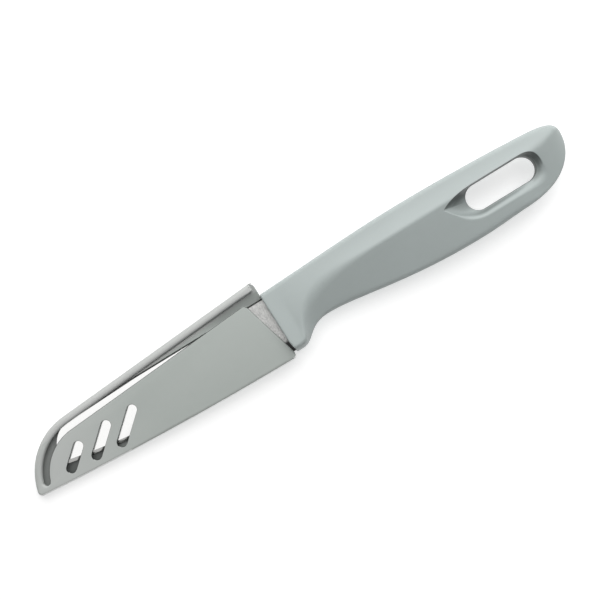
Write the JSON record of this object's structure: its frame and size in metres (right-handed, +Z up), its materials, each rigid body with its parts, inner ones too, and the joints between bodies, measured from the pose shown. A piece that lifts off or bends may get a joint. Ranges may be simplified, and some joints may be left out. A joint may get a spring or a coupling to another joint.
{
  "type": "paring knife with sheath",
  "caption": "Small fruit knife with a stamped steel blade, a moulded plastic handle with a hanging slot, and a vented slide-on blade sheath.",
  "frame": {"origin": "bottom centre of the box of the sheathed knife lying on its side", "axes": "+X along the knife from the tip to the handle's end, +Y from the cutting edge to the spine, +Z up, square to the blade's broad side"},
  "size_m": [0.2108, 0.0292, 0.014],
  "materials": {
    "blade_steel": "satin, finely brushed across the blade",
    "handle_plastic": "satin with a fine moulded texture",
    "sheath_plastic": "satin with a fine moulded texture"
  },
  "bodies": {
    "knife": {"blade": "blade_steel", "handle": "handle_plastic"},
    "cover": {"sheath": "sheath_plastic"}
  },
  "joints": [
    {"name": "sheath_pull", "type": "slide", "parent": "knife", "child": "cover", "axis": [-1, 0, 0], "range_m": [0, 0.1]}
  ]
}
